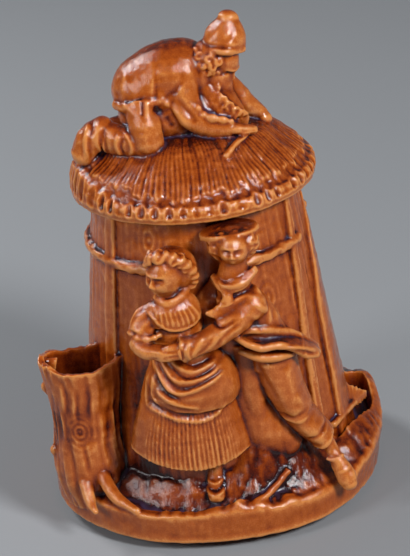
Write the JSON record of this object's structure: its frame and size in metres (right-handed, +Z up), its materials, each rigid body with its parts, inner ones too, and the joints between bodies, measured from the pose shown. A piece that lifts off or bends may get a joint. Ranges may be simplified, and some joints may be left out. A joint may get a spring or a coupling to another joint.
{
  "type": "figural tobacco jar",
  "caption": "Figural tobacco jar in glazed stoneware: a round hut with a courting couple and a hollow tree stump, under a loose thatched-roof lid with a crouching man.",
  "frame": {"origin": "middle of the jar's flat underside, on the axis of its round tobacco room", "axes": "+Z up through the lid; the courting couple faces -Y; the hollow stump is on the -X side"},
  "size_m": [0.1596, 0.161, 0.229],
  "materials": {
    "brown_glaze": "gloss"
  },
  "bodies": {
    "root": {"jar": "brown_glaze", "lid": "brown_glaze"}
  },
  "joints": []
}
